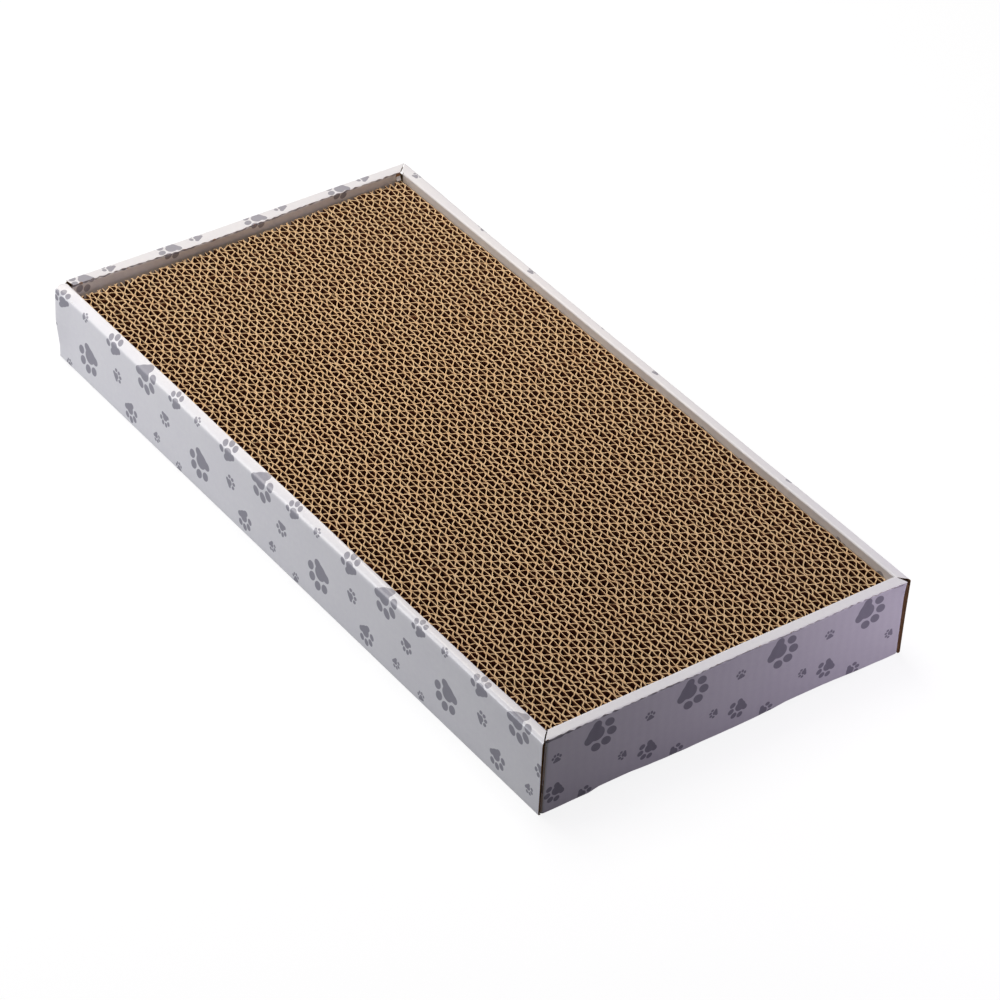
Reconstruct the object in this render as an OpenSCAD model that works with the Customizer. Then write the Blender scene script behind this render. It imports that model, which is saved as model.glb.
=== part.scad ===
// Cardboard cat scratcher: a pad of glued corrugated strips that lies loose in a folded tray.
// Millimetres, Z up. The origin is the middle of the tray's underside. X is the tray's width,
// Y its length, and -Y is the near end.

/* [Pad] */
// How many double-wall strips are glued side by side
strip_count = 30; // [20:1:40]
// Length of the pad, along the strips
pad_l = 472; // [300:1:650]
// Height of the pad, which is the width that the strips are sawn to
pad_h = 44; // [25:1:80]
// How many strips on the left lie the other way round
turned_strips = 4; // [0:1:15]

/* [Strip board] */
// Depth of the row with the tall flutes, from liner to liner
tall_row = 4.38; // [3.8:0.01:6]
// Depth of the row with the short flutes, from liner to liner
short_row = 3.57; // [2.8:0.01:4.5]
// Length of one tall flute
tall_pitch = 8.8; // [7:0.1:12]
// Length of one short flute
short_pitch = 8; // [6:0.1:11]
// Thickness of a liner sheet
liner_t = 0.3; // [0.2:0.01:0.5]
// Thickness of a fluted sheet
medium_t = 0.25; // [0.15:0.01:0.4]

/* [Tray board] */
// Thickness of the folded board
board_t = 1.8; // [1.2:0.1:3]
// Outer radius of a fold
fold_r = 1.2; // [0.3:0.1:1.8]

/* [Tray] */
// How deep the pad's top lies below the rim
recess_d = 6; // [2:0.5:30]
// Width of the empty space inside each end wall
end_cavity = 3.2; // [1:0.1:12]
// Free space between the pad and the far end wall
pull_gap = 4.1; // [1:0.1:15]
// Length of the corner flaps that lie inside the long walls
flap_l = 60; // [30:1:120]

/* [Lock tabs] */
// Length of each lock tab
tab_l = 34; // [15:1:50]
// How many lock tabs each long inner panel has
side_tabs = 3; // [2:1:4]
// How many lock tabs each end inner panel has
end_tabs = 2; // [1:1:3]

/* [Clearances] */
// Space between the pad and the walls beside it, and at its near end
pad_fit = 0.3; // [0.1:0.05:1]
// Space under the pad
pad_seat = 0.1; // [0.05:0.05:0.5]
// Space between a lock tab and its slot
slot_fit = 0.3; // [0.1:0.05:0.8]
// How far a lock tab stays above the floor
tab_short = 0.3; // [0.1:0.1:0.8]
// Width of the slit where two ledges meet
mitre_slit = 0.5; // [0.2:0.1:1.5]
// Space between an end inner panel and the long inner panel beside it
panel_fit = 1.2; // [0.3:0.1:2]
// Glue line between a fluted sheet and its liner
glue_t = 0.02; // [0.01:0.01:0.05]

/* [Hidden] */
// Each strip starts its flutes this much of a pitch further along than the last
tall_step_share = 0.382;
short_step_share = 0.271;
// Overrun of the cutting shapes
cut = 1;
// Short straight pieces in a quarter of a fold
fold_steps = 6;

strip_w = tall_row + short_row;
pad_w = strip_count * strip_w;
inner_w = pad_w + 2 * pad_fit;
inner_l = pad_l + pad_fit + pull_gap;
// A long wall holds three boards: outer panel, corner flap and inner panel
side_ledge = 3 * board_t;
end_ledge = 2 * board_t + end_cavity;
tray_w = inner_w + 2 * side_ledge;
tray_l = inner_l + 2 * end_ledge;
tray_h = board_t + pad_seat + pad_h + recess_d;

pad_x = -pad_w / 2;
pad_y = -tray_l / 2 + end_ledge + pad_fit;
pad_z = board_t + pad_seat;

print_white = "whitesmoke";
board_brown = "burlywood";
flute_brown = "peru";

function strip_name(i) = str("strip_", i < 9 ? "0" : "", i + 1);

// Places of n tabs along a wall of length l, as the middle of each tab
function tab_places(n, l) = [for (i = [0 : n - 1]) (i + 0.5) * l / n - l / 2];

// Points of a fold's outer round between two directions, for a corner at p and a radius r.
// sx and sy say on which side of the corner the round's centre lies.
function fold_arc(p, sx, sy, from, to) = [
    for (k = [0 : fold_steps])
        let (a = from + (to - from) * k / fold_steps)
            [p[0] + sx * fold_r * (1 - cos(a)), p[1] + sy * fold_r * (1 - sin(a))]
];

// Section of an outer panel: its face is at 0, its top ends in a mitre and both folds are round
module outer_section() {
    polygon(concat(
        fold_arc([0, 0], 1, 1, 90, 0),
        fold_arc([0, tray_h], 1, -1, 0, 45),
        [[board_t, tray_h - board_t], [board_t, 0]]
    ));
}

// Section of a ledge of width w: a strip with a mitre and a round fold on both edges
module ledge_section(w) {
    polygon(concat(
        fold_arc([0, tray_h], 1, -1, 45, 90),
        fold_arc([w, tray_h], -1, -1, 90, 45),
        [[w - board_t, tray_h - board_t], [board_t, tray_h - board_t]]
    ));
}

// Section of the inner panel of a wall whose ledge is w wide
module inner_section(w) {
    polygon(concat(
        fold_arc([w, tray_h], -1, -1, 45, 0),
        [[w, board_t], [w - board_t, board_t], [w - board_t, tray_h - board_t]]
    ));
}

// Lays a wall section along the left wall, centred on the tray's length
module along_side(l) {
    translate([-tray_w / 2, l / 2, 0]) rotate([90, 0, 0]) linear_extrude(l) children();
}

// Lays a wall section along the near end, centred on the tray's width
module along_end(l) {
    translate([-l / 2, -tray_l / 2, 0]) rotate([90, 0, 90]) linear_extrude(l) children();
}

// Tabs or slots in a row along the left wall, each grown by fit all round
module side_tab_row(fit, low, high) {
    for (y = tab_places(side_tabs, inner_l))
        translate([-tray_w / 2 + side_ledge - board_t - fit, y - tab_l / 2 - fit, low])
            cube([board_t + 2 * fit, tab_l + 2 * fit, high - low]);
}

// The same along the near end
module end_tab_row(fit, low, high) {
    for (x = tab_places(end_tabs, inner_w))
        translate([x - tab_l / 2 - fit, -tray_l / 2 + end_ledge - board_t - fit, low])
            cube([tab_l + 2 * fit, board_t + 2 * fit, high - low]);
}

// Bottom of the tray, with a slot for every lock tab
module base_panel() {
    color(print_white) difference() {
        translate([-tray_w / 2 + board_t, -tray_l / 2 + board_t, 0])
            cube([tray_w - 2 * board_t, tray_l - 2 * board_t, board_t]);
        for (m = [0, 1]) {
            mirror([m, 0, 0]) side_tab_row(slot_fit, -cut, board_t + cut);
            mirror([0, m, 0]) end_tab_row(slot_fit, -cut, board_t + cut);
        }
    }
}

// Outer face of a long wall, cut off square at both ends so that its raw edge shows
module side_outer() {
    color(print_white) along_side(tray_l) outer_section();
}

// Outer face of an end wall, between the long walls, mitred where its flaps fold back
module end_outer() {
    half = tray_w / 2 - board_t;
    color(print_white) intersection() {
        along_end(tray_w) outer_section();
        translate([0, -tray_l / 2, -cut]) linear_extrude(tray_h + 2 * cut)
            polygon(concat(
                fold_arc([-half, 0], 1, 1, 45, 90),
                fold_arc([half, 0], -1, 1, 90, 45),
                [[half - board_t, board_t], [board_t - half, board_t]]
            ));
    }
}

// Flap that an end outer panel turns back into the long wall beside it
module corner_flap() {
    half = tray_w / 2 - board_t;
    color(board_brown) translate([0, -tray_l / 2, board_t])
        linear_extrude(tray_h - 2 * board_t - slot_fit)
            polygon(concat(
                fold_arc([-half, 0], 1, 1, 45, 0),
                [[-half, flap_l], [board_t - half, flap_l], [board_t - half, board_t]]
            ));
}

// Plan of a ledge on the left wall, mitred at both ends
module side_ledge_plan() {
    y = tray_l / 2;
    slit = mitre_slit / 2;
    translate([-tray_w / 2, 0])
        polygon([
            [0, slit - y],
            [side_ledge, end_ledge + slit - y],
            [side_ledge, y - end_ledge - slit],
            [0, y - slit]
        ]);
}

// Plan of a ledge on the near end, mitred at both ends
module end_ledge_plan() {
    x = tray_w / 2;
    slit = mitre_slit / 2;
    translate([0, -tray_l / 2])
        polygon([
            [slit - x, 0],
            [x - slit, 0],
            [x - side_ledge - slit, end_ledge],
            [side_ledge + slit - x, end_ledge]
        ]);
}

// Narrow top of a long wall, folded over from the outer panel
module side_ledge_panel() {
    color(print_white) intersection() {
        along_side(tray_l) ledge_section(side_ledge);
        translate([0, 0, -cut]) linear_extrude(tray_h + 2 * cut) side_ledge_plan();
    }
}

// Narrow top of an end wall
module end_ledge_panel() {
    color(print_white) intersection() {
        along_end(tray_w) ledge_section(end_ledge);
        translate([0, 0, -cut]) linear_extrude(tray_h + 2 * cut) end_ledge_plan();
    }
}

// Inner face of a long wall, turned down from the ledge and locked by its tabs
module side_inner() {
    color(print_white) {
        along_side(tray_l - 2 * end_ledge - mitre_slit) inner_section(side_ledge);
        side_tab_row(0, tab_short, 2 * board_t);
    }
}

// Inner face of an end wall, which stands between the long inner panels
module end_inner() {
    color(print_white) {
        along_end(inner_w - 2 * panel_fit) inner_section(end_ledge);
        end_tab_row(0, tab_short, 2 * board_t);
    }
}

// Zigzag sheet between two liners. x0 and x1 are the liner faces that it is glued to, and phase
// is the place of its first crest as a share of the pitch.
function zigzag(y, pitch, phase) = abs(2 * (y / pitch - phase - floor(y / pitch - phase)) - 1);

module fluted_sheet(x0, x1, pitch, phase) {
    half_pitch = pitch / 2;
    rise = x1 - x0;
    across = medium_t * norm([rise, half_pitch]) / half_pitch;
    first = ceil(-2 * phase);
    last = floor((pad_l / pitch - phase) * 2);
    crests = [for (k = [first : last]) (k / 2 + phase) * pitch];
    ys = concat([0], [for (y = crests) if (y > liner_t && y < pad_l - liner_t) y], [pad_l]);
    path = [for (y = ys) [x0 + (rise - across) * zigzag(y, pitch, phase), y]];
    back = [for (i = [len(path) - 1 : -1 : 0]) path[i] + [across, 0]];
    polygon(concat(path, back));
}

// Strip i of the pad, counted from the left: three liners with a tall and a short fluted sheet.
// The first strips lie the other way round.
module strip(i) {
    turned = i < turned_strips;
    tall_phase = i * tall_step_share - floor(i * tall_step_share);
    short_phase = i * short_step_share - floor(i * short_step_share);
    middle = tall_row - liner_t / 2;
    color(i % 2 == 0 ? board_brown : flute_brown)
        translate([pad_x + (turned ? i + 1 : i) * strip_w, pad_y, pad_z])
            mirror([turned ? 1 : 0, 0, 0])
                linear_extrude(pad_h) {
                    for (x = [0, middle, strip_w - liner_t])
                        translate([x, 0]) square([liner_t, pad_l]);
                    fluted_sheet(liner_t + glue_t, middle - glue_t, tall_pitch, tall_phase);
                    fluted_sheet(
                        middle + liner_t + glue_t,
                        strip_w - liner_t - glue_t,
                        short_pitch,
                        short_phase
                    );
                }
}

base_panel();
side_outer();  // left_outer_panel
mirror([1, 0, 0]) side_outer();  // right_outer_panel
end_outer();  // near_outer_panel
mirror([0, 1, 0]) end_outer();  // far_outer_panel
side_ledge_panel();  // left_ledge
mirror([1, 0, 0]) side_ledge_panel();  // right_ledge
end_ledge_panel();  // near_ledge
mirror([0, 1, 0]) end_ledge_panel();  // far_ledge
side_inner();  // left_inner_panel
mirror([1, 0, 0]) side_inner();  // right_inner_panel
end_inner();  // near_inner_panel
mirror([0, 1, 0]) end_inner();  // far_inner_panel
corner_flap();  // near_left_flap
mirror([1, 0, 0]) corner_flap();  // near_right_flap
mirror([0, 1, 0]) corner_flap();  // far_left_flap
mirror([0, 1, 0]) mirror([1, 0, 0]) corner_flap();  // far_right_flap
for (i = [0 : strip_count - 1])
    strip(i);
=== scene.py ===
import math

import bpy
import numpy as np
from mathutils import Matrix, Vector


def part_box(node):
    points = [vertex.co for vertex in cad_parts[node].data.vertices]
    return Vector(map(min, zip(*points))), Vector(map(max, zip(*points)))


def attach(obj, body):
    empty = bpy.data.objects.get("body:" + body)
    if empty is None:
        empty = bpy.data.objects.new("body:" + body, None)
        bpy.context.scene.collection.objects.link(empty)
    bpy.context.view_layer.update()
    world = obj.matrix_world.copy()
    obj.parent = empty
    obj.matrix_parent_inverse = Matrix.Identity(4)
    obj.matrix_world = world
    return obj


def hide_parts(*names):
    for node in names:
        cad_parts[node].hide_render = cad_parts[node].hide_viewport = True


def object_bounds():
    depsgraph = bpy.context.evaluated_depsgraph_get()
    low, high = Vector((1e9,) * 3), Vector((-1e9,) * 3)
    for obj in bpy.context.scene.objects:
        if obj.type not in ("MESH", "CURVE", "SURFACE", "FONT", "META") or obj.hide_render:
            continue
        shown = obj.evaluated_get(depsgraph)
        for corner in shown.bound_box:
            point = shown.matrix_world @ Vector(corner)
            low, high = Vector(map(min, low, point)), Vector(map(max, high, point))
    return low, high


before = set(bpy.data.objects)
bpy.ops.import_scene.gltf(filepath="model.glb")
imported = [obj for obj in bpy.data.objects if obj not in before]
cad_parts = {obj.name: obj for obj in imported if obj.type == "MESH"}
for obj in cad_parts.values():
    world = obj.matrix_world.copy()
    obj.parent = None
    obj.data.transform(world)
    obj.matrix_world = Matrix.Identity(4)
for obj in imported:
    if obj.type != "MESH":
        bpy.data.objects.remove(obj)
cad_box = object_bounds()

# The tray's long and end outer panels are parts of one die-cut blank of white-lined corrugated board,
# 1.8 mm thick: a printed liner, a fluted sheet and a brown liner, glued. They are folded up from the
# base. The long ones are cut off square, and the end ones turn back behind them.
MM = 0.001
tray_w, tray_l, tray_h = (1000 * (high - low) for low, high in zip(*cad_box))
board_t = 1.8
fold_r = 1.2
liner_t = 0.28
flute_pitch = 6.0
half_flute = flute_pitch / 2
side_ledge = 5.4
end_ledge = 6.8

# Each wall as one sees it from outside: its lower left corner, the way along it to the right and
# the way into the tray, then its length, the width of its ledge and how far its print has slipped.
WALLS = {
    "left": ((-tray_w / 2, tray_l / 2), (0, -1), (1, 0), tray_l, side_ledge, (-1.6, -1.7)),
    "near": ((-tray_w / 2, -tray_l / 2), (1, 0), (0, 1), tray_w, end_ledge, (0, 0)),
    "right": ((tray_w / 2, -tray_l / 2), (0, 1), (-1, 0), tray_l, side_ledge, (0.8, -1.2)),
    "far": ((tray_w / 2, tray_l / 2), (-1, 0), (0, -1), tray_w, end_ledge, (0, 1.0)),
}
# The rims have sprung out of line. For places along each wall, how far into the tray its outer and
# its inner edge have moved, in millimetres.
RIMS = {
    "left": ([0, 15, 120, 250, 350, 430, 455, 490],
             [0, 0, 0, 0, 0, -0.1, -0.2, -0.3],
             [0.7, 0.55, 0.55, 0.45, 0.8, 0.9, 1.4, 1.8]),
    "near": ([0, 60, 110, 160, 200, 225, 250],
             [-0.2, 0, 0, 0, 0, -0.2, -1.4],
             [0.2, 0.5, 0.6, 0.6, 0.4, 0.2, 0.0]),
    "right": ([0, 60, 250, 370, 420, 460, 490],
              [-0.9, -1.0, -1.0, -1.2, -1.8, -2.7, -3.0],
              [0.0, -0.2, -0.3, -0.3, -0.3, -0.3, -0.3]),
    "far": ([0, 50, 75, 100, 130, 150, 170, 185, 200, 235, 250],
            [-2.4, -2.1, -2.1, -2.1, -2.2, -2.2, -2.2, -2.3, -2.4, -2.5, -2.5],
            [-1.8, -1.75, -1.2, -0.5, 0.4, 0.5, 0.0, -0.9, -1.6, -2.3, -2.4]),
}
# The left wall's outer crease is pressed down: for places along it, by how much, and how wide the slope
# is that runs from there up to the flat of the ledge. The wall below gives way from pressed_from upwards.
pressed_from = 36
PRESSED = ([0, 8, 15, 120, 235, 265, 297, 322, 360, 388, 415, 450, 490],
           [0.3, 2.2, 3.6, 3.5, 3.2, 2.75, 2.3, 1.9, 1.3, 0.8, 0.75, 0.8, 0.7],
           [5.4, 5.4, 5.4, 5.4, 5.4, 4.8, 4.0, 3.2, 2.2, 1.4, 1.2, 1.2, 1.2])


def srgb(code):
    """The linear colour of a hex value."""
    parts = [int(code[k : k + 2], 16) / 255 for k in (1, 3, 5)]
    linear = [c / 12.92 if c <= 0.04045 else ((c + 0.055) / 1.055) ** 2.4 for c in parts]
    return (*linear, 1.0)


def add(tree, kind, inputs=None, **settings):
    """Adds a node with its settings. inputs gives a socket or a value for an input's name or number."""
    node = tree.nodes.new(kind)
    for name, value in settings.items():
        setattr(node, name, value)
    for name, source in (inputs or {}).items():
        if isinstance(source, bpy.types.NodeSocket):
            tree.links.new(source, node.inputs[name])
        else:
            node.inputs[name].default_value = source
    return node


def calc(tree, operation, *values):
    """The result of a Math node. Each value is a number or a socket."""
    return add(tree, "ShaderNodeMath", dict(enumerate(values)), operation=operation).outputs[0]


def ramp(tree, value, start, end, low=0.0, high=1.0):
    """Maps a value that goes from start to end to one that goes from low to high."""
    span = {"Value": value, "From Min": start, "From Max": end, "To Min": low, "To Max": high}
    return add(tree, "ShaderNodeMapRange", span).outputs[0]


def mix(tree, share, first, second):
    """The colour that lies that share of the way between two. Each is a hex value or a socket."""
    first, second = (srgb(c) if isinstance(c, str) else c for c in (first, second))
    return add(tree, "ShaderNodeMix", {"Factor": share, 6: first, 7: second}, data_type="RGBA").outputs[2]


def new_material(name):
    """An empty material, its nodes and its shader."""
    material = bpy.data.materials.new(name)
    material.use_nodes = True
    return material, material.node_tree, material.node_tree.nodes["Principled BSDF"]


# The paw print, in millimetres of the largest one, with its toes towards +X and the middle of its heel
# at 0. It is made of ovals: the place of each one's middle, and its reach along X and along Y. Both
# sides of X are the same, so one side lobe and two toes are enough.
PAW_HEEL = [(1.1, 0, 4.7, 4.7), (-2.3, 0, 3.1, 5.4), (-2.4, 5.2, 2.8, 2.8)]
PAW_TOES = [(10.2, 3.3, 3.4, 2.75), (5.3, 8.1, 3.3, 2.7)]
# One repeat of the print, in millimetres of the blank, and how far it is turned on the board
TILE = (61.68, 123.4)
TILE_TURN = math.radians(0.443)
TILE_ORIGIN = (-88.8, -283.9)
# The paws of one repeat: across, along, turned by so many degrees, and size
PAWS = [
    (-1.2, -2.3, 31, 1.0),
    (-26.2, -63.1, -38, 1.0),
    (-24.0, -31.0, 150, 0.74),
    (-25.0, 25.5, 148, 0.62),
    (9.6, -47.1, -30, 0.66),
    (-8.3, 37.0, 7, 0.48),
    (-5.0, -32.1, -122, 0.44),
    (11.0, -76.2, -45, 0.34),
    (-26.5, 3.8, -96, 0.31),
    (19.0, 22.0, 170, 0.30),
]

paw = bpy.data.node_groups.new("paw_print", "ShaderNodeTree")
paw.interface.new_socket("Place", in_out="INPUT", socket_type="NodeSocketVector")
paw.interface.new_socket("Middle", in_out="INPUT", socket_type="NodeSocketVector")
paw.interface.new_socket("Turn", in_out="INPUT", socket_type="NodeSocketFloat")
paw.interface.new_socket("Size", in_out="INPUT", socket_type="NodeSocketFloat")
paw.interface.new_socket("Ink", in_out="OUTPUT", socket_type="NodeSocketFloat")
given = add(paw, "NodeGroupInput")
away = add(paw, "ShaderNodeVectorMath", {0: given.outputs["Place"], 1: given.outputs["Middle"]},
           operation="SUBTRACT")
half_tile = (TILE[0] / 2, TILE[1] / 2, 1)
near_one = add(paw, "ShaderNodeVectorMath",
               {0: away.outputs[0], 1: half_tile, 2: tuple(-c for c in half_tile)}, operation="WRAP")
back_turn = calc(paw, "MULTIPLY", given.outputs["Turn"], -1.0)
turned = add(paw, "ShaderNodeVectorRotate", {"Vector": near_one.outputs[0], "Angle": back_turn},
             rotation_type="Z_AXIS")
shrink = calc(paw, "DIVIDE", 1.0, given.outputs["Size"])
sized = add(paw, "ShaderNodeVectorMath", {0: turned.outputs[0], "Scale": shrink}, operation="SCALE")
parts = add(paw, "ShaderNodeSeparateXYZ", {0: sized.outputs[0]})
one_side = calc(paw, "ABSOLUTE", parts.outputs["Y"])
folded = add(paw, "ShaderNodeCombineXYZ", {"X": parts.outputs["X"], "Y": one_side})
edges = []
for x, y, reach_x, reach_y in PAW_HEEL + PAW_TOES:
    moved = add(paw, "ShaderNodeVectorMath", {0: folded.outputs[0], 1: (x, y, 0)}, operation="SUBTRACT")
    round_one = add(paw, "ShaderNodeVectorMath",
                    {0: moved.outputs[0], 1: (1 / reach_x, 1 / reach_y, 0)}, operation="MULTIPLY")
    length = add(paw, "ShaderNodeVectorMath", {0: round_one.outputs[0]}, operation="LENGTH")
    outside = calc(paw, "SUBTRACT", length.outputs["Value"], 1.0)
    edges.append(calc(paw, "MULTIPLY", outside, min(reach_x, reach_y)))
front = calc(paw, "SMOOTH_MIN", edges[0], edges[1], 2.0)
heel = calc(paw, "SMOOTH_MIN", front, edges[2], 2.2)
toes = calc(paw, "MINIMUM", edges[3], edges[4])
whole = calc(paw, "MINIMUM", heel, toes)
real = calc(paw, "MULTIPLY", whole, given.outputs["Size"])
soft_edge = 0.14
add(paw, "NodeGroupOutput", {"Ink": ramp(paw, real, soft_edge, -soft_edge)})


def printed_liner(name, place):
    """White-coated liner, printed in one grey: smooth, a little glossy, with the flutes showing through
    as faint ribs. place(tree) gives the socket with the place on the blank, in millimetres."""
    rib_height = 0.02
    grain_height = 0.03
    swell_height = 0.5
    material, tree, shader = new_material(name)
    blank = place(tree)
    shifted = add(tree, "ShaderNodeVectorMath", {0: blank, 1: (*TILE_ORIGIN, 0)}, operation="SUBTRACT")
    straight = add(tree, "ShaderNodeVectorRotate", {"Vector": shifted.outputs[0], "Angle": TILE_TURN},
                   rotation_type="Z_AXIS")
    ink = None
    for across, along, turn, size in PAWS:
        one = add(tree, "ShaderNodeGroup", {}, node_tree=paw)
        tree.links.new(straight.outputs[0], one.inputs["Place"])
        one.inputs["Middle"].default_value = (across, along, 0)
        one.inputs["Turn"].default_value = math.radians(turn)
        one.inputs["Size"].default_value = size
        ink = one.outputs[0] if ink is None else calc(tree, "MAXIMUM", ink, one.outputs[0])
    # Soft unevenness of the board, about 40 mm across, and the paper's own cloudiness at 3 mm
    cloud = add(tree, "ShaderNodeTexNoise", {"Vector": blank, "Scale": 1 / 40, "Detail": 3.0}).outputs[0]
    speck = add(tree, "ShaderNodeTexNoise", {"Vector": blank, "Scale": 1 / 3, "Detail": 4.0}).outputs[0]
    paper = ramp(tree, calc(tree, "ADD", cloud, speck), 0.6, 1.4)
    white = mix(tree, paper, "#E6E4EA", "#ECEBEE")
    grey = mix(tree, paper, "#9997A1", "#A09EA8")
    colour = mix(tree, ink, white, grey)
    # Brown paper shows where the end creases are scuffed
    scuff = add(tree, "ShaderNodeAttribute", {}, attribute_name="scuffed").outputs["Fac"]
    bare = ramp(tree, calc(tree, "MULTIPLY", scuff, speck), 0.34, 0.42)
    colour = mix(tree, bare, colour, "#A9805C")
    # Painted shade: a dark band on the panel under the end ledges' crushed lip
    lip_shade_mask = add(tree, "ShaderNodeAttribute", {}, attribute_name="painted_lip_shade").outputs["Fac"]
    tree.links.new(mix(tree, lip_shade_mask, colour, "#5A5560"), shader.inputs["Base Color"])
    # Heights in millimetres: the flutes' ribs, the paper's grain and the board's soft swells
    blank_x = add(tree, "ShaderNodeSeparateXYZ", {0: blank}).outputs["X"]
    ribs = calc(tree, "SINE", calc(tree, "MULTIPLY", blank_x, 2 * math.pi / flute_pitch))
    height = calc(tree, "MULTIPLY", ribs, rib_height)
    height = calc(tree, "MULTIPLY_ADD", speck, grain_height, height)
    height = calc(tree, "MULTIPLY_ADD", cloud, swell_height, height)
    bump = add(tree, "ShaderNodeBump", {"Height": height, "Distance": MM, "Strength": 1.0})
    tree.links.new(bump.outputs[0], shader.inputs["Normal"])
    tree.links.new(ramp(tree, speck, 0.3, 0.7, 0.36, 0.44), shader.inputs["Roughness"])
    shader.inputs["Specular IOR Level"].default_value = 0.3
    shader.inputs["Coat Weight"].default_value = 0.25
    shader.inputs["Coat Roughness"].default_value = 0.2
    return material


def kraft_paper(name, dark, light, grain, roughness):
    """Brown unbleached paper: matte, cloudy at 5 mm and with short fibres at grain millimetres."""
    material, tree, shader = new_material(name)
    here = add(tree, "ShaderNodeTexCoord").outputs["Object"]
    clouds = add(tree, "ShaderNodeTexNoise",
                 {"Vector": here, "Scale": 1 / (5 * MM), "Detail": 2.0}).outputs[0]
    fibres = add(tree, "ShaderNodeTexNoise",
                 {"Vector": here, "Scale": 1 / (grain * MM), "Detail": 5.0}).outputs[0]
    cloudy = ramp(tree, calc(tree, "ADD", clouds, fibres), 0.7, 1.3)
    tree.links.new(mix(tree, cloudy, dark, light), shader.inputs["Base Color"])
    bump = add(tree, "ShaderNodeBump", {"Height": fibres, "Distance": 0.1 * MM, "Strength": 0.6})
    tree.links.new(bump.outputs[0], shader.inputs["Normal"])
    shader.inputs["Roughness"].default_value = roughness
    return material


def on_blank(tree):
    """The place on the flat blank, which lay_blank gives each sheet as its UV map."""
    return add(tree, "ShaderNodeUVMap", {}, uv_map="blank").outputs[0]


# The print and the coat, then the brown back of the board, and its raw edge, which is darker partly
# because the knife has crushed it and partly as painted shade for the flutes that open there
printed_board = printed_liner("printed_white_liner", on_blank)
board_inside = kraft_paper("kraft_liner_inside", "#8E6F50", "#A8875F", 0.5, 0.8)
board_edge = kraft_paper("kraft_raw_edge", "#6E4E35", "#A07B55", 0.35, 0.9)


def select_where(piece, test):
    """Leaves piece in edit mode with only the vertices that pass the test selected."""
    bpy.context.view_layer.objects.active = piece
    bpy.ops.object.mode_set(mode="EDIT")
    bpy.ops.mesh.select_mode(type="VERT")
    bpy.ops.mesh.select_all(action="DESELECT")
    bpy.ops.object.mode_set(mode="OBJECT")
    for vertex in piece.data.vertices:
        vertex.select = bool(test(vertex.co))
    bpy.ops.object.mode_set(mode="EDIT")


def places(piece):
    """A piece's vertices as an array of millimetres."""
    flat = np.empty(3 * len(piece.data.vertices))
    piece.data.vertices.foreach_get("co", flat)
    return flat.reshape(-1, 3) * 1000


def put(piece, points):
    """Puts a piece's vertices at points, given in millimetres."""
    piece.data.vertices.foreach_set("co", (points * MM).ravel())
    piece.data.update()


def on_wall(wall, t, d, h):
    """The place, in metres, that lies t along a wall, d into it and h up."""
    corner, along, inward = WALLS[wall][:3]
    return (
        (corner[0] + along[0] * t + inward[0] * d) * MM,
        (corner[1] + along[1] * t + inward[1] * d) * MM,
        h * MM,
    )


def from_wall(wall, points):
    """The reverse: how far along, into and up the wall the points lie, in millimetres."""
    corner, along, inward = (np.array(part) for part in WALLS[wall][:3])
    plan = points[:, :2] - corner
    return plan @ along, plan @ inward, points[:, 2].copy()


def put_on_wall(piece, wall, t, d, h):
    """Puts a piece's vertices t along, d into and h up a wall, in millimetres."""
    corner, along, inward = (np.array(part) for part in WALLS[wall][:3])
    put(piece, np.column_stack([corner + np.outer(t, along) + np.outer(d, inward), h]))


def pick(*pieces):
    """Selects these pieces alone and makes the first one active."""
    bpy.ops.object.select_all(action="DESELECT")
    for piece in pieces:
        piece.select_set(True)
    bpy.context.view_layer.objects.active = pieces[0]


def flat_sheet(wall, t, d, h, rows, columns):
    """A flat grid in a wall. t, d and h are each (from, to): t goes from column to column, and d, h or
    both from row to row."""
    first = np.array(on_wall(wall, t[0], d[0], h[0]))
    along = np.array(on_wall(wall, t[1], d[0], h[0])) - first
    across = np.array(on_wall(wall, t[0], d[1], h[1])) - first
    sides = [np.linalg.norm(along), np.linalg.norm(across)]
    up = np.cross(along, across) / sides[0] / sides[1]
    turn = Matrix(np.column_stack([along / sides[0], across / sides[1], up]).tolist()).to_euler()
    bpy.ops.object.select_all(action="DESELECT")
    bpy.ops.mesh.primitive_grid_add(
        x_subdivisions=columns, y_subdivisions=rows, size=1,
        location=first + along / 2 + across / 2, rotation=turn)
    piece = bpy.context.object
    piece.scale = (*sides, 1)
    bpy.ops.object.transform_apply(location=True, rotation=True, scale=True)
    piece.data.uv_layers[0].name = "blank"
    return piece


def fold_on(piece, wall, path):
    """Extrudes the edge that lies at the path's first point along the rest of it, as a fold is made.
    The path's points are (into the wall, up)."""

    def at_edge(place):
        _, d, h = from_wall(wall, np.array([place]) * 1000)
        return abs(d[0] - path[0][0]) < 0.01 and abs(h[0] - path[0][1]) < 0.01

    select_where(piece, at_edge)
    inward = WALLS[wall][2]
    for (d0, h0), (d1, h1) in zip(path, path[1:]):
        step = (inward[0] * (d1 - d0) * MM, inward[1] * (d1 - d0) * MM, (h1 - h0) * MM)
        bpy.ops.mesh.extrude_region_move(TRANSFORM_OT_translate={"value": step})
    bpy.ops.object.mode_set(mode="OBJECT")


def arc(middle_d, middle_h, start, end, steps):
    """Points of a fold: an angle of 0 points out of the wall and 90 points up."""
    turns = [math.radians(start + (end - start) * k / steps) for k in range(steps + 1)]
    return [(middle_d - fold_r * math.cos(a), middle_h + fold_r * math.sin(a)) for a in turns]


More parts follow.
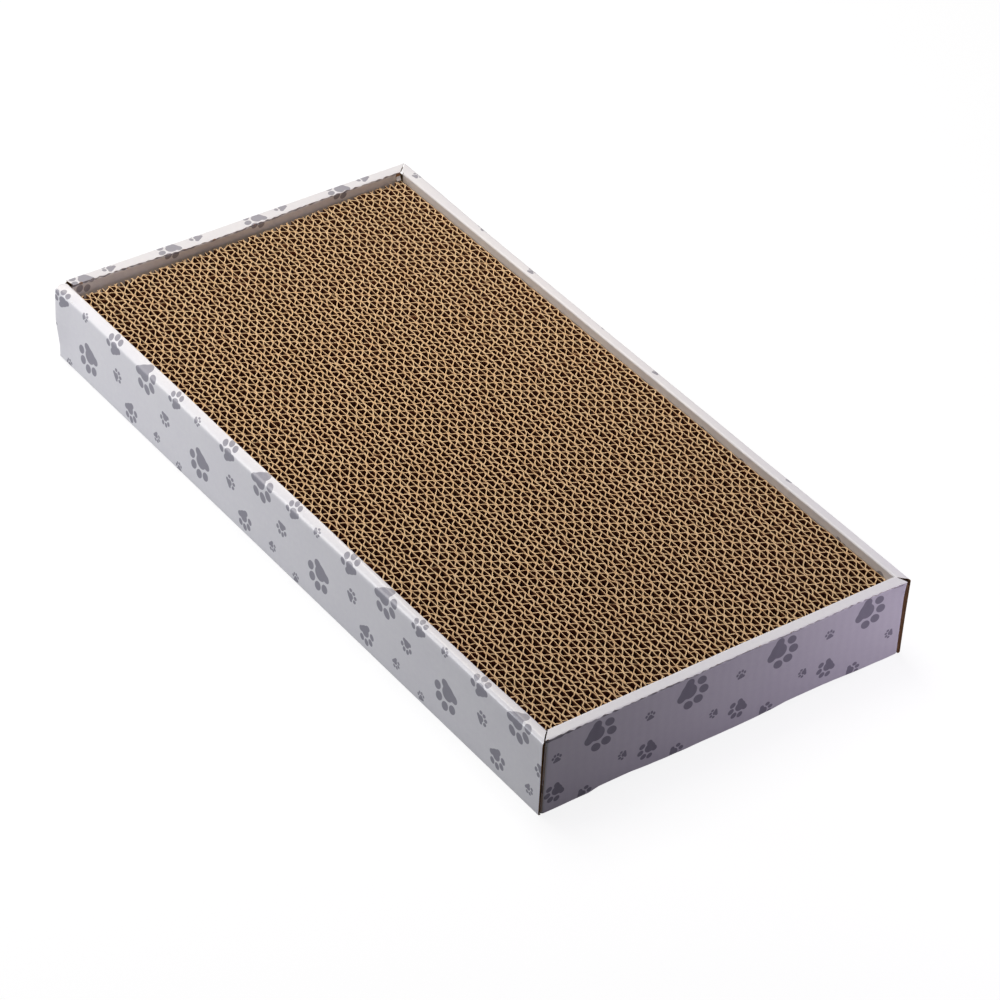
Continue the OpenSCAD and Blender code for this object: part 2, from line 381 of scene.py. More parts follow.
def lay_blank(piece, wall, part):
    """Gives each corner of a face its place on the flat blank, in millimetres, as the piece's UV map.
    s is how far up the blank it lies from the base's crease, round the folds and over the ledge."""
    right_inner_slip = 2.1
    corner, along, inward, _, ledge, slip = WALLS[wall]
    t, d, h = from_wall(wall, places(piece))
    wider = np.interp(t, RIMS[wall][0], RIMS[wall][2]) - np.interp(t, *RIMS[wall][:2])
    drop = np.interp(t, *PRESSED[:2]) * (wall == "left")
    slope = np.interp(t, PRESSED[0], PRESSED[2])
    steeper = (np.hypot(slope, drop) - slope) / slope
    top = tray_h - fold_r
    if part == "outer":
        up = np.degrees(np.arctan2(h - top, fold_r - d))
        under = np.degrees(np.arctan2(fold_r - h, fold_r - d))
        s = np.where(h > top, top + fold_r * up / 45, h)
        s = np.where(h < fold_r, fold_r - fold_r * np.minimum(under, 90) / 45, s)
        s = np.where((h < fold_r) & (d > fold_r), -d, s)
        s -= drop * np.clip((s - pressed_from) / (tray_h - pressed_from), 0, 1)
    elif part == "ledge":
        out = np.degrees(np.arctan2(h - top, fold_r - d))
        back = np.degrees(np.arctan2(d - (ledge - fold_r), h - top))
        s = tray_h + d
        s = np.where(d < fold_r, tray_h + fold_r - fold_r * (90 - out) / 45, s)
        s = np.where(d > ledge - fold_r, tray_h + ledge - fold_r + fold_r * back / 45, s)
        s += wider * np.clip(d / ledge, 0, 1) + steeper * np.clip(d, 0, slope) - drop
    else:
        back = np.degrees(np.arctan2(d - (ledge - fold_r), h - top))
        s = tray_h + ledge + tray_h - h
        s = np.where(h > top, tray_h + ledge + fold_r * (back - 45) / 45, s)
        s += wider + steeper * slope - drop - (right_inner_slip if wall == "right" else 0)
    blank = np.stack([
        corner[0] + along[0] * t - inward[0] * s + slip[0],
        corner[1] + along[1] * t - inward[1] * s + slip[1],
    ], 1)
    loops = np.empty(len(piece.data.loops), int)
    piece.data.loops.foreach_get("vertex_index", loops)
    piece.data.uv_layers["blank"].data.foreach_set("uv", blank[loops].ravel())


def wander(where, spacing, seed):
    """Smooth values from -1 to 1 that change about once in each spacing."""
    knot_count = 997
    knots_before_zero = 300
    knots = np.random.default_rng(seed).uniform(-1, 1, knot_count)
    step = where / spacing + knots_before_zero
    whole_steps = np.floor(step).astype(int)
    share = step - whole_steps
    share = share * share * (3 - 2 * share)
    return knots[whole_steps % knot_count] * (1 - share) + knots[(whole_steps + 1) % knot_count] * share


def bell(x, width):
    """1 where x is 0, falling off smoothly on both sides, to a third at width."""
    return np.exp(-((x / width) ** 2))


def spring(wall, part, t, d, h):
    """Where a board lies, into and up its wall, once the wall's rim has sprung in or out."""
    panel_foot = 14
    near_stays_true = 38
    held_by_pad = 43
    share = np.clip(d / WALLS[wall][4], 0, 1)
    up = np.clip(h / (panel_foot if part == "inner" else tray_h), 0, 1)
    start = near_stays_true if wall == "near" else 0
    curl = np.clip((h - start) / (tray_h - start), 0, 1) ** 2
    if wall == "far" and part == "inner":
        # The pad's foot holds it from 100 mm along, so only its top leans out
        leans = np.interp(t, [60, 100], [0, 1])
        up = up * (1 - leans) + leans * np.clip((h - held_by_pad) / (tray_h - held_by_pad), 0, 1)
    where, outer, inner = RIMS[wall]
    new_d = d + np.interp(t, where, outer) * curl * (1 - share) + np.interp(t, where, inner) * up * share
    new_d += up * 0.12 * wander(t, 45, 3)
    return new_d, h + 0.1 * up * wander(t, 60, 4)


def press_down(t, d, h, new_d, new_h):
    """The left wall bulges out at its far end, and its outer crease is pressed down and blunt."""
    crease_width = 1.8
    share = np.clip(d / side_ledge, 0, 1)
    new_d = new_d - 2.5 * bell(t, 10) * np.clip((h - 8) / 20, 0, 1) * (1 - share)
    crease = bell(d, crease_width) * bell(h - tray_h, crease_width)
    new_d += 0.4 * crease
    new_h = new_h - 0.3 * crease
    pressed = np.clip((h - pressed_from) / (tray_h - pressed_from), 0, 1)
    slope = np.interp(t, PRESSED[0], PRESSED[2])
    new_h -= np.interp(t, *PRESSED[:2]) * pressed * np.clip(1 - d / slope, 0, 1)
    return new_d, new_h


def crush(wall, part, t, d, h, new_d, new_h):
    """An end wall's creases run across the flutes, so the board is crushed there flute by flute. Gives
    its new place, where its coat is scuffed, and where painted shade darkens it under the lip."""
    ledge = WALLS[wall][4]
    near = wall == "near"
    crushed = 0.5 + 0.5 * np.cos(2 * math.pi * (t / flute_pitch + 0.3 * wander(t, 17, 5)))
    crushed = crushed * (0.55 + 0.45 * wander(t, 9, 6)) + 0.3 * wander(t, 2.2, 7)
    crushed *= 1 + 0.9 * bell(t, 40) + 0.4 * bell(t - 250, 25)
    painted_lip_shade = np.zeros(len(t))
    if part == "ledge":
        # Both edges of the ledge are a flat lip that is crushed, and stands over the panel below it
        lip = fold_r * math.cos(math.radians(45))
        for outwards, reach in ((-1, (fold_r - d) / lip), (1, (d - ledge + fold_r) / lip)):
            u = np.clip(reach, 0, 1) * (h > tray_h - 0.4)
            new_d = new_d + outwards * (0.1 + 0.42 * crushed) * u ** 2
            new_h = new_h + (np.where(u > 0, tray_h - h, 0) - (0.1 + 0.4 * crushed) * u ** 3)
    else:
        # Under that lip the panel's crease gets a band of painted shade, which is taller by the near left
        # corner
        height = 1.1 + 1.3 * bell(t, 16) * near + 0.4 * wander(t, 2.8, 31)
        painted_lip_shade = np.clip((h - tray_h + height) / 0.35, 0, 1)
        painted_lip_shade *= np.clip(0.8 + 0.3 * wander(t, 5, 32) - 0.4 * (t > 95) * near, 0, 1)
    if part == "outer":
        # Its ends turn in to the flaps
        for from_end in (t - t.min(), t.max() - t):
            new_d = new_d + 0.8 * np.clip(1 - from_end / 1.6, 0, 1) ** 2
    worn_d, worn_h = (0, tray_h) if near else (ledge, tray_h - 0.5)
    band = bell(d - worn_d, 0.9) * bell(h - worn_h, 0.9)
    scuffed = band * np.clip(2.2 * wander(t, 3.2, 21) + (0.5 * wander(t, 40, 22) - 0.9), 0, 1)
    if not near:
        scuffed += band * bell(t - 6, 3) + band * bell(t - 242, 5)
        scuffed += 1.6 * bell(t - 7.4, 2.0) * bell(h - 49.6, 1.8) * (part == "inner")
        # Its end by the left wall is bent down behind that wall's ledge
        bent_down = 4 * np.clip((t - 242) / 6, 0, 1) * np.clip((h - 25) / 25, 0, 1)
        new_h = new_h - bent_down * (part == "outer")
    return new_d, new_h, scuffed, painted_lip_shade


def lift_edge(t, d, h, new_h):
    """The near wall's lower edge rises from the table in two shallow arches."""
    raised = 2.2 * np.interp(t, [33, 40, 60, 75, 98], [0, 0.85, 1, 0.35, 0])
    raised += 2.0 * np.interp(t, [143, 158, 168, 195, 212, 240], [0, 0.25, 0.9, 1, 0.4, 0])
    low = np.clip(1 - h / 12, 0, 1) ** 2 * np.clip(1 - d / 3, 0, 1)
    new_h = new_h + (raised + 0.2 * wander(t, 7, 8)) * low * np.clip(t / 10, 0, 1)
    return np.maximum(new_h, 0)


def settle(piece, wall, part):
    """The real board isn't true. Moves a sheet to where the worn board lies, and stores where its coat
    is scuffed and where painted shade darkens it under the lip."""
    t, d, h = from_wall(wall, places(piece))
    new_d, new_h = spring(wall, part, t, d, h)
    if wall == "left":
        new_d, new_h = press_down(t, d, h, new_d, new_h)
    # The base's creases are sharper than the fold that was drawn: their round is pulled to the corner
    low_fold = np.clip(1 - h / (2 * fold_r), 0, 1) * np.clip(1 - d / (2 * fold_r), 0, 1)
    new_d -= 0.5 * low_fold * np.clip(d, 0, fold_r)
    new_h -= 0.5 * low_fold * np.clip(h, 0, fold_r)
    scuffed = painted_lip_shade = np.zeros(len(t))
    if wall in ("near", "far"):
        new_d, new_h, scuffed, painted_lip_shade = crush(wall, part, t, d, h, new_d, new_h)
    if wall == "near":
        new_h = lift_edge(t, d, h, new_h)
    for name, values in (("scuffed", scuffed), ("painted_lip_shade", painted_lip_shade)):
        attribute = piece.data.attributes.new(name, "FLOAT", "POINT")
        attribute.data.foreach_set("value", values.astype(np.float32))
    put_on_wall(piece, wall, t, new_d, new_h)


def thicken(piece, thickness, offset, inside=0, rim=0):
    """Gives a sheet its thickness, to one side or, at an offset of 0, to both. inside and rim are how
    many material slots on from the sheet's own the new back and edges come."""
    pick(piece)
    solid = piece.modifiers.new("paper", "SOLIDIFY")
    solid.thickness = thickness * MM
    solid.offset = offset
    solid.use_even_offset = True
    solid.material_offset = inside
    solid.material_offset_rim = rim
    bpy.ops.object.modifier_apply(modifier=solid.name)


def join(name, sheets):
    """Joins the sheets of one board, smooths its folds but not its cut edges, and names it."""
    pick(*sheets)
    bpy.ops.object.join()
    bpy.ops.object.shade_smooth_by_angle(angle=math.radians(40))
    sheets[0].name = name
    sheets[0].data.name = name
    return sheets[0]


def fluted(wall, t, d, h, rows, columns, ribs_along):
    """The fluted sheet between two liners: every second row or column of a grid is pushed across,
    and one subdivision rounds the crests. ribs_along says that the flutes run along the wall."""
    loose = 0.25
    depth = board_t - 2 * liner_t - loose
    piece = flat_sheet(wall, t, d, h, rows, columns)
    points = places(piece)
    along_wall, into, up = from_wall(wall, points)
    lies_flat = abs(d[1] - d[0]) > 0.01
    side = np.array([0, 0, -1]) if lies_flat else np.array([*WALLS[wall][2], 0])
    across_wall = into if lies_flat else up
    reach = across_wall - across_wall.min() if ribs_along else along_wall
    crest = np.rint(reach / half_flute).astype(int) % 2
    put(piece, points + np.outer(np.where(crest == 0, -0.5, 0.5) * depth, side))
    pick(piece)
    round_crests = piece.modifiers.new("crests", "SUBSURF")
    round_crests.levels = round_crests.render_levels = 1
    bpy.ops.object.modifier_apply(modifier=round_crests.name)
    return piece


def finish_board(name, wall, part, printed, others, node):
    """Puts the liners and the fluted sheet together as one panel that stands for its CAD node."""
    lay_blank(printed, wall, part)
    sheets = [printed, *others]
    for sheet in sheets:
        settle(sheet, wall, part)
    for number, sheet in enumerate(sheets):
        first = printed_board if number == 0 else board_inside
        for material in (first, board_inside, board_edge):
            sheet.data.materials.append(material)
        thicken(sheet, liner_t, -1 if number == 0 else 0, 1 if number == 0 else 0, 2)
    piece = join(name, sheets)
    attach(piece, "tray")
    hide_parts(node)
    return piece


# How far below the rim the rows of a panel lie that stand close together, for the painted shade under its
# lip
CLOSE_ROWS = (4, 3.4, 2.9, 2.5, 2.1, 1.75, 1.45)
corner_gap = 0.1
left_cut = 0.4
flute_rows = 16

for wall in WALLS:
    length = WALLS[wall][3]
    long_wall = wall in ("left", "right")
    if long_wall:
        ends = (0, length - left_cut * (wall == "left"))
        columns = 163
    else:
        ends = (board_t + corner_gap, length - board_t - corner_gap)
        columns = 312
    top = tray_h - fold_r
    low = CLOSE_ROWS[0]
    printed = flat_sheet(wall, ends, (0, 0), (low, tray_h - low), 11, columns)
    rows = [(0, tray_h - down) for down in CLOSE_ROWS]
    fold_on(printed, wall, [*rows, *arc(fold_r, top, 0, 45, 4)])
    fold_on(printed, wall, [(0, low), (0, 2.5), *arc(fold_r, fold_r, 0, -90, 6), (board_t, 0)])
    # The plies behind it end short of the folded corners, and of the left wall's crushed near end
    if wall == "left":
        ends = (0, length - 1.6)
    elif not long_wall:
        ends = (5, length - 5)
    inner = flat_sheet(wall, ends, (board_t - liner_t / 2,) * 2, (0.4, tray_h - board_t), 6, columns)
    halfway = (board_t / 2,) * 2
    if long_wall:
        rise = (fold_r, fold_r + half_flute * flute_rows)
        middle = fluted(wall, ends, halfway, rise, flute_rows, 49, True)
    else:
        flutes = 2 * int((ends[1] - ends[0]) / flute_pitch)
        middle = fluted(wall, ends, halfway, (fold_r, top - 2.4), 4, flutes, False)
    finish_board(f"{wall}_outer_board", wall, "outer", printed, [middle, inner], f"{wall}_outer_panel")

# The four ledges are the flat tops of the double walls, one crease further along the same blank. They
# meet in mitres at the corners, where the cut board shows as a dark slit.

# How the first and the last end of each ledge are cut: how far from the corner the cut lies, for a place
# that is d into the wall
LEDGE_CUTS = {
    "left": (lambda d: 1.1 - 1.7 * np.sin(math.pi * np.clip(d, 0, side_ledge) / side_ledge),
             lambda d: 0.1 + 1.27 * d),
    "near": (lambda d: 0.8 + 1.07 * d, lambda d: 2.2 + 0.5 * d),
    "right": (lambda d: 0.2 + 1.12 * d, lambda d: -2.2 + 1.47 * d),
    "far": (lambda d: -2.4 + 1.24 * d, lambda d: 6.4 + 0.2 * d),
}


def trim_ends(piece, wall, cuts):
    """Slides the ends of a board's rows to the lines where it is cut, in a stretch by each corner."""
    stretch = 15
    t, d, h = from_wall(wall, places(piece))
    length = WALLS[wall][3]
    first, last = cuts[0](d), cuts[1](d)
    new_t = t + first * np.clip(1 - t / stretch, 0, 1) - last * np.clip(1 - (length - t) / stretch, 0, 1)
    put_on_wall(piece, wall, new_t, d, h)


for wall in WALLS:
    length, ledge = WALLS[wall][3:5]
    long_wall = wall in ("left", "right")
    columns = 140 if long_wall else 320
    top = tray_h - fold_r
    front_arc = arc(fold_r, top, 90, 45, 4)
    printed = flat_sheet(wall, (0, length), (fold_r, ledge - fold_r), (tray_h, tray_h), 6, columns)
    fold_on(printed, wall, front_arc)
    fold_on(printed, wall, [(ledge - d, h) for d, h in front_arc])
    low = tray_h - board_t + liner_t / 2
    inner = flat_sheet(wall, (0, length), (board_t, ledge - board_t), (low, low), 2, columns)
    halfway = (tray_h - board_t / 2,) * 2
    if long_wall:
        middle = fluted(wall, (0, length), (fold_r, fold_r + half_flute), halfway, 1, columns // 2, True)
    else:
        flutes = 2 * int(length / flute_pitch)
        middle = fluted(wall, (0, length), (fold_r, ledge - fold_r), halfway, 2, flutes, False)
    for sheet in (printed, inner, middle):
        cuts = LEDGE_CUTS[wall]
        if wall == "far" and sheet is not printed:
            # The plies are cut back further than the coat, so that they don't show at the torn corner
            cuts = (cuts[0], lambda d: 9.5 + 0.2 * d)
        trim_ends(sheet, wall, cuts)
    finish_board(f"{wall}_ledge_board", wall, "ledge", printed, [middle, inner], f"{wall}_ledge")

# The inner panels turn down from the ledges and stand on the base, where their tabs lock in slots. The
# end ones stop just short of the long ones, so that their raw edges show at the corners.
panel_gap = 1.2
long_gap = 0.25
forced_gap = 0.3
tab_l = 34
tab_short = 0.3

for wall in WALLS:
    length, ledge = WALLS[wall][3:5]
    long_wall = wall in ("left", "right")
    if long_wall:
        reach = end_ledge + long_gap
        first = reach
        columns = 98
        count, span = 3, tray_l - 2 * end_ledge
    else:
        reach = side_ledge + panel_gap
        first = side_ledge + forced_gap if wall == "far" else reach
        columns = 300
        count, span = 2, tray_w - 2 * side_ledge
    ends = (first, length - reach)
    top = tray_h - fold_r
    low = CLOSE_ROWS[0]
    printed = flat_sheet(wall, ends, (ledge, ledge), (tray_h - low, board_t), 8, columns)
    rows = [(ledge, tray_h - down) for down in CLOSE_ROWS]
    fold_on(printed, wall, [*rows, *((ledge - d, h) for d, h in arc(fold_r, top, 0, 45, 4))])
    back = ledge - board_t + liner_t / 2
    inner = flat_sheet(wall, ends, (back, back), (tray_h - board_t, board_t), 4, columns)
    halfway = (ledge - board_t / 2,) * 2
    if long_wall:
        rise = (board_t, board_t + half_flute * flute_rows)
        middle = fluted(wall, ends, halfway, rise, flute_rows, columns // 2, True)
    else:
        flutes = 2 * int((ends[1] - ends[0]) / flute_pitch)
        middle = fluted(wall, ends, halfway, (board_t, top - 2), 2, flutes, False)
    tabs = []
    for k in range(count):
        centre = length / 2 + (k + 0.5) * span / count - span / 2
        along = (centre - tab_l / 2, centre + tab_l / 2)
        tabs.append(flat_sheet(wall, along, halfway, (tab_short, board_t + 2), 2, 12))
    name = f"{wall}_inner_board"
    piece = finish_board(name, wall, "inner", printed, [middle, inner], f"{wall}_inner_panel")
    for tab in tabs:
        for material in (board_inside, board_inside, board_edge):
            tab.data.materials.append(material)
        thicken(tab, board_t, 0, 0, 2)
    if wall == "far":
        # Where the corner was forced, a shred of the liner has torn loose and curls over
        shred = flat_sheet(wall, (5.9, 8.9), (ledge - 1.6, ledge - 0.3), (49.2, 46.6), 3, 3)
        shred.data.materials.append(printed_board)
        thicken(shred, liner_t, 0)
        tabs.append(shred)
    join(name, [piece, *tabs])

# The corner flaps are the ends of the end panels, folded back into the long walls, where they hold the
# tray square. Their white side is against the long wall, and their tops lie under its pressed ledge.
under_ledge = 2.6

for node in ("near_left_flap", "near_right_flap", "far_left_flap", "far_right_flap"):
    wall = node.split("_")[1]
    t, d, h = from_wall(wall, np.array(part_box(node)) * 1000)
    t, d = sorted(t), sorted(d)
    h = (h[0], h[1] - under_ledge)
    printed = flat_sheet(wall, t, (d[0],) * 2, h, 6, 12)
    inner = flat_sheet(wall, t, (d[1] - liner_t / 2,) * 2, h, 6, 12)
    middle = fluted(wall, t, ((d[0] + d[1]) / 2,) * 2, h, flute_rows, 12, True)
    finish_board(f"{node}_board", wall, "flap", printed, [middle, inner], node)

# The base is the middle of the blank, with a slot for each tab: printed below, and brown liner above.
# Its plain board is right as it comes, so it only gets its paper.


def on_base(tree):
    """The place on the base, in millimetres. The blank's places are counted from its middle."""
    here = add(tree, "ShaderNodeTexCoord")
    return add(tree, "ShaderNodeVectorMath", {0: here.outputs["Object"], "Scale": 1000.0},
               operation="SCALE").outputs[0]


printed_base = printed_liner("printed_white_liner_base", on_base)
tree = printed_base.node_tree
base_colour = tree.nodes["Principled BSDF"].inputs["Base Color"]
level = add(tree, "ShaderNodeSeparateXYZ", {0: on_base(tree)}).outputs["Z"]
above = calc(tree, "GREATER_THAN", level, board_t / 2)
tree.links.new(mix(tree, above, base_colour.links[0].from_socket, "#9C7C56"), base_colour)
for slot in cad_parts["base_panel"].material_slots:
    slot.material = printed_base

# The pad is 30 strips of double-wall brown corrugated board, sawn to 44 mm, stood on edge and glued side
# by side. Each is three liners with a tall and a short fluted sheet between them. The flutes lean and
# wander as they left the corrugator, and the saw bent and frayed their upper edges.
strip_count = 30
turned_strips = 4
tall_row = 4.38
short_row = 3.57
tall_pitch = 8.8
short_pitch = 8.0
strip_liner = 0.26
middle_liner = 0.42
strip_medium = 0.55
# Each strip starts its flutes this share of a pitch further along than the last
tall_step = 0.382
short_step = 0.271
# How far the strips were pushed towards the far wall, which they have bent outwards: places across the
# pad, and the push at each
PUSHED = ([-119, 20, 45, 70, 119], [1.8, 2.0, 3.2, 4.5, 5.4])

pad_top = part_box("strip_01")[1][2]
pad_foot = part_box("strip_01")[0][2]


def below_saw(material, fuzz_and_highlight):
    """Darkens a paper with its depth below the sawn faces, as painted shade for the deep cells between
    the flutes, and lightens the last millimetre, partly for the fibres that the saw has raised and partly
    as a painted highlight."""
    tree = material.node_tree
    base_colour = tree.nodes["Principled BSDF"].inputs["Base Color"]
    here = add(tree, "ShaderNodeTexCoord").outputs["Object"]
    height = add(tree, "ShaderNodeSeparateXYZ", {0: here}).outputs["Z"]
    from_foot = calc(tree, "SUBTRACT", height, pad_foot)
    from_top = calc(tree, "SUBTRACT", pad_top, height)
    depth = calc(tree, "MINIMUM", from_foot, from_top)
    # Painted shade: the colour darkens with depth below the sawn faces, to nearly black 6 mm down
    shade = ramp(tree, depth, 0.6 * MM, 6 * MM, 0.0, 0.9)
    # Painted highlight, together with the saw's raised fibres: the last 0.8 mm below the sawn faces is
    # lighter
    burr = ramp(tree, depth, 0.1 * MM, 0.8 * MM, fuzz_and_highlight, 0.0)
    darker = mix(tree, shade, base_colour.links[0].from_socket, "#300702")
    tree.links.new(mix(tree, burr, darker, "#D6AC7E"), base_colour)
    return material


# The pale fuzzy sawn edge draws the pattern that one sees. The papers below it are given darker colours
# than plain kraft, the fluted one darker still, as painted shade for the deep cells; the pad's bare long
# sides are plain kraft.
sheet_edge = kraft_paper("kraft_sawn_edge", "#D4AC7E", "#EBCDA2", 0.3, 0.95)
# Painted shade: these kraft colours are darker than the bare side's, standing in for the shade in the
# deep cells
sheet_kraft = below_saw(kraft_paper("kraft_strip_liner", "#7A4224", "#935834", 0.4, 0.85), 0.5)
flute_kraft = below_saw(kraft_paper("kraft_fluted_sheet", "#642F16", "#7A4020", 0.4, 0.9), 0.6)
side_kraft = kraft_paper("kraft_pad_side", "#A07B53", "#BB966A", 0.4, 0.85)

# A standing sheet has three rows of faces. It is straight up to bend_from below its top, leans a little
# from there up to bend_at, and bends most above that.
sheet_rows = 3
bend_from = 6
bend_at = 1.2


def upright_sheet(x, y, z, columns):
    """A grid that stands on edge at x, with its length along Y. y and z are each (from, to)."""
    low, high = (x, y[0], z[0]), (x, y[1], z[1])
    middle = [(a + b) / 2 * MM for a, b in zip(low, high)]
    bpy.ops.object.select_all(action="DESELECT")
    bpy.ops.mesh.primitive_grid_add(
        x_subdivisions=columns, y_subdivisions=sheet_rows, size=1, location=middle,
        rotation=(math.pi / 2, 0, math.pi / 2))
    sheet = bpy.context.object
    sheet.scale = ((high[1] - low[1]) * MM, (high[2] - low[2]) * MM, 1)
    bpy.ops.object.transform_apply(location=True, rotation=True, scale=True)
    return sheet


def waver(y, seed):
    """How far a liner is pulled to and fro where the crests are glued to it, in millimetres."""
    return 0.36 * wander(y, 4.1, seed) + 0.15 * wander(y, 19, seed + 1)


def frayed_top(points, z, seed):
    """Moves a standing sheet's rows to their levels, with the top one worn up and down by the saw. Gives
    the share of the bend that each point takes."""
    row = np.rint(sheet_rows * (points[:, 2] - z[0]) / (z[1] - z[0])).astype(int)
    points[:, 2] = np.array([z[0], z[1] - bend_from, z[1] - bend_at, z[1]])[row]
    points[:, 2] += np.where(row == sheet_rows, 0.16 * wander(points[:, 1], 2.7, seed) - 0.05, 0)
    return np.array([0, 0, 0.3, 1.0])[row]


def lay_liner(x, y, z, seed):
    """A liner from one end of the strip to the other, in steps of 2 mm."""
    sheet = upright_sheet(x, y, z, 236)
    points = places(sheet)
    frayed_top(points, z, seed + 3)
    points[:, 0] += waver(points[:, 1], seed)
    put(sheet, points)
    return sheet


def flute_line(y, pitch, phase, seed):
    """The line of a fluted sheet seen from above: places along the strip, and how far across its row
    each lies, from 0 to 1. The corrugator's drag has left every second flank steeper, and each crest
    has its own place and lean."""
    leaning, steep = 0.27, 0.15
    scatter = 0.055 * pitch
    rng = np.random.default_rng(seed)
    half = pitch / 2
    count = int((y[1] - y[0]) / half) + 6
    crests = y[0] + (np.arange(count) - 1 - 2 * (1 - phase)) * half
    crests = crests + 0.5 * wander(crests, 30, seed + 5) + rng.normal(0, scatter, count)
    ys = []
    rises = []
    for k in range(count - 1):
        run = crests[k + 1] - crests[k]
        flank = (leaning if k % 2 == 0 else steep) * rng.uniform(0.8, 1.2)
        bow = rng.normal(0, 0.05)
        # Along half a flute: the crest that is glued down, its round, the flank, and the next round
        wave = ((0, 0), (0.42 - flank, 0.015), (0.52 - flank, 0.08), (0.5, 0.5 + bow),
                (0.48 + flank, 0.92), (0.58 + flank, 0.985))
        for share, rise in wave:
            ys.append(crests[k] + run * share)
            rises.append(rise if k % 2 == 0 else 1 - rise)
    ys, rises = np.array(ys), np.array(rises)
    inside = (ys > y[0] + 0.2) & (ys < y[1] - 0.2)
    ends = np.interp(y, ys, rises)
    return (np.concatenate([[y[0]], ys[inside], [y[1]]]),
            np.concatenate([ends[:1], rises[inside], ends[1:]]))


def lay_flutes(x, y, z, pitch, phase, seed, liners):
    """A fluted sheet between two liners. Its crests lie flat along them, wherever they waver, and the saw
    has bent its top, and here and there crushed it."""
    ys, rises = flute_line(y, pitch, phase, seed)
    near_side = x[0] + waver(ys, liners[0])
    far_side = x[1] + waver(ys, liners[1])
    xs = near_side + (far_side - near_side) * rises
    sheet = upright_sheet((x[0] + x[1]) / 2, y, z, len(ys) - 1)
    points = places(sheet)
    column = np.rint((len(ys) - 1) * (points[:, 1] - y[0]) / (y[1] - y[0])).astype(int)
    points[:, 1] = ys[column]
    bend = frayed_top(points, z, seed + 4)
    crushed = np.maximum(wander(ys[column], 6, seed + 6) - 0.72, 0) * 3
    points[:, 0] = xs[column] + bend * (0.18 * wander(ys[column], 3.3, seed + 2) + crushed)
    points[:, 1] += bend * (0.3 * wander(ys[column], 5.1, seed + 3) + crushed)
    points[:, 0] = np.clip(points[:, 0], near_side[column], far_side[column])
    points[:, 1] = np.clip(points[:, 1], *y)
    put(sheet, points)
    return sheet


def fray(sheet, seed):
    """Raises fibres along a sheet's sawn edges, so that they look thicker here and there."""
    points = places(sheet)
    outwards = np.empty(points.size)
    sheet.data.vertices.foreach_get("normal", outwards)
    outwards = outwards.reshape(-1, 3)
    outwards[:, 2] = 0
    burr_depth = 0.8
    sawn = np.clip(1 - (points[:, 2].max() - points[:, 2]) / burr_depth, 0, 1)
    burr = 0.05 + 0.14 * np.maximum(wander(points[:, 1], 1.3, seed), -0.3)
    put(sheet, points + outwards * (sawn * burr)[:, None])


half_liner = strip_liner / 2
thicknesses = (strip_liner, middle_liner, strip_liner, strip_medium, strip_medium)

for number in range(strip_count):
    node = f"strip_{number + 1:02d}"
    low, high = ([1000 * c for c in corner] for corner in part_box(node))
    pushed = np.interp((low[0] + high[0]) / 2, *PUSHED)
    y, z = (low[1], high[1] + pushed), (low[2], high[2])
    rows = (tall_row, short_row)
    phases = (number * tall_step % 1, number * short_step % 1)
    pitches = (tall_pitch, short_pitch)
    if number < turned_strips:
        # The first strips on the left lie the other way round
        rows, phases, pitches = rows[::-1], phases[::-1], pitches[::-1]
    stops = [low[0] + half_liner, low[0] + rows[0], high[0] - half_liner]
    # Two strips share a seed where they are glued, so that their liners lie face to face
    seeds = [100 + 20 * number + 10 * k for k in range(3)]
    sheets = [lay_liner(stop, y, z, seed) for stop, seed in zip(stops, seeds)]
    for k in range(2):
        halves = (half_liner, middle_liner / 2)[:: 1 if k == 0 else -1]
        between = (stops[k] + halves[0] + strip_medium / 2, stops[k + 1] - halves[1] - strip_medium / 2)
        seed = 1000 + 50 * number + 20 * k
        sheets.append(lay_flutes(between, y, z, pitches[k], phases[k], seed, seeds[k : k + 2]))
    for k, (sheet, thickness) in enumerate(zip(sheets, thicknesses)):
        for material in (sheet_kraft if k < 3 else flute_kraft, sheet_edge):
            sheet.data.materials.append(material)
        thicken(sheet, thickness, 0, 0, 1)
        fray(sheet, 5000 + 50 * number + k)
        # The liner on each long side of the pad lies bare, clear of the painted shade and the burr's
        # painted highlight between the sheets
        outwards = {(0, 0): -1, (strip_count - 1, 2): 1}.get((number, k), 0)
        if outwards:
            sheet.data.materials.append(side_kraft)
            for face in sheet.data.polygons:
                if face.normal.x * outwards > 0.7:
                    face.material_index = 2
    piece = join(f"{node}_board", sheets)
    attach(piece, "pad")
    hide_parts(node)

# The table is a plain sweep. It keeps the tray's shadow, and its own light lifts it to white where the
# camera looks at it.
bpy.ops.object.select_all(action="DESELECT")
bpy.ops.mesh.primitive_grid_add(x_subdivisions=24, y_subdivisions=24, size=12)
floor = bpy.context.object
floor.name = "studio_floor"
white_sweep, tree, shader = new_material("matte_white_sweep")
shader.inputs["Base Color"].default_value = srgb("#7C7C7E")
shader.inputs["Roughness"].default_value = 0.9
shader.inputs["Specular IOR Level"].default_value = 0.0
glow_strength = 0.86
looked_at = add(tree, "ShaderNodeLightPath").outputs["Is Camera Ray"]
glow = calc(tree, "MULTIPLY", looked_at, glow_strength)
tree.links.new(glow, shader.inputs["Emission Strength"])
shader.inputs["Emission Color"].default_value = (1, 1, 1, 1)
floor.data.materials.append(white_sweep)

# Studio light: a soft box overhead, a large one beyond the far end, a small warm one above the pad's far
# half, two cards on the left that rake the long wall, one of them low, and a small cool card by the near
# right corner. The world adds a little light, and looks white.


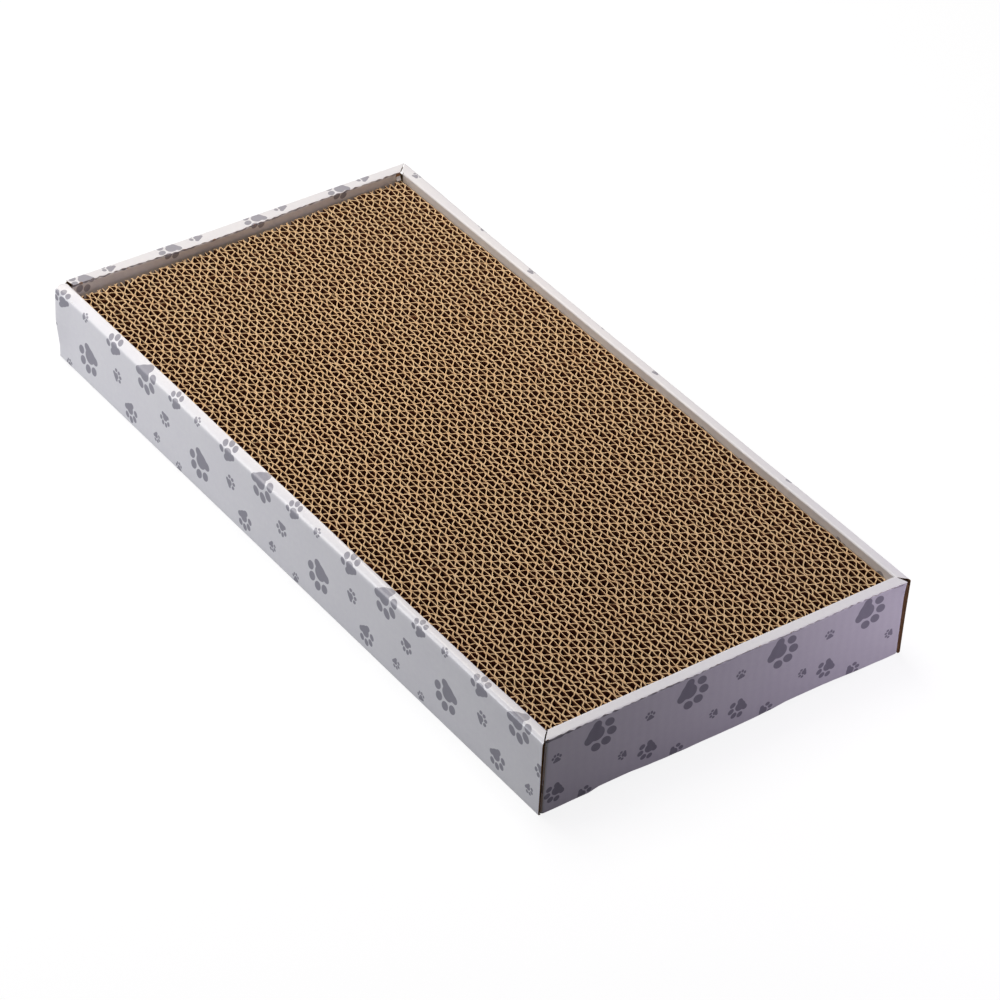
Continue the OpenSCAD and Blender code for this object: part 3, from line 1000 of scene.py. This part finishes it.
def seen_rays(tree):
    """1 where the camera sees the world, straight or in a gloss or through something, and else 0."""
    ray = add(tree, "ShaderNodeLightPath").outputs
    straight_or_gloss = calc(tree, "MAXIMUM", ray["Is Camera Ray"], ray["Is Glossy Ray"])
    return calc(tree, "MAXIMUM", straight_or_gloss, ray["Is Transmission Ray"])


world = bpy.data.worlds.new("studio")
bpy.context.scene.world = world
world.use_nodes = True
tree = world.node_tree
sky = tree.nodes["Background"]
tree.links.new(ramp(tree, seen_rays(tree), 0.0, 1.0, 0.05, 1.0), sky.inputs["Strength"])
sky.inputs["Color"].default_value = (1, 1, 1, 1)


def soft_box(name, place, aim, size, watts, colour):
    """A square area lamp at a place in metres, aimed at a point."""
    bpy.ops.object.light_add(type="AREA", location=place)
    lamp = bpy.context.object
    lamp.name = name
    lamp.data.size = size
    lamp.data.energy = watts
    lamp.data.color = srgb(colour)[:3]
    lamp.visible_camera = False
    way = Vector(place) - Vector(aim)
    lamp.rotation_euler = way.to_track_quat("Z", "Y").to_euler()


soft_box("overhead_box", (0.05, 0.0, 1.5), (0, 0, 0), 0.48, 4.2, "#F6F2FF")
soft_box("far_box", (0.0, 0.75, 1.5), (0, 0, 0), 1.0, 17.4, "#FFFDF6")
soft_box("warm_box", (0.02, 0.05, 0.35), (0, 0.24, 0.05), 0.15, 0.17, "#FFE2B4")
soft_box("left_card", (-1.0, 0.7, 0.35), (-0.1, 0.1, 0), 0.4, 3.7, "#FDFBF6")
soft_box("low_left_card", (-1.1, 0.45, 0.03), (-0.125, 0.1, 0.03), 0.05, 4.3, "#F2F6FF")
soft_box("right_front_card", (0.25, -0.455, 0.10), (0, -0.245, 0.03), 0.12, 0.375, "#ECDDF8")

# The camera stands where the photograph's did: solved from the tray's corners and its printed repeats.
bpy.ops.object.camera_add(location=(-1.1054, -1.4610, 1.4115))
camera = bpy.context.object
camera.rotation_euler = [math.radians(a) for a in (52.3453, -2.6499, -35.7374)]
camera.data.lens = 143.34
camera.data.sensor_width = 36
camera.data.clip_end = 50
bpy.context.scene.camera = camera
bpy.context.scene.view_settings.view_transform = "Standard"
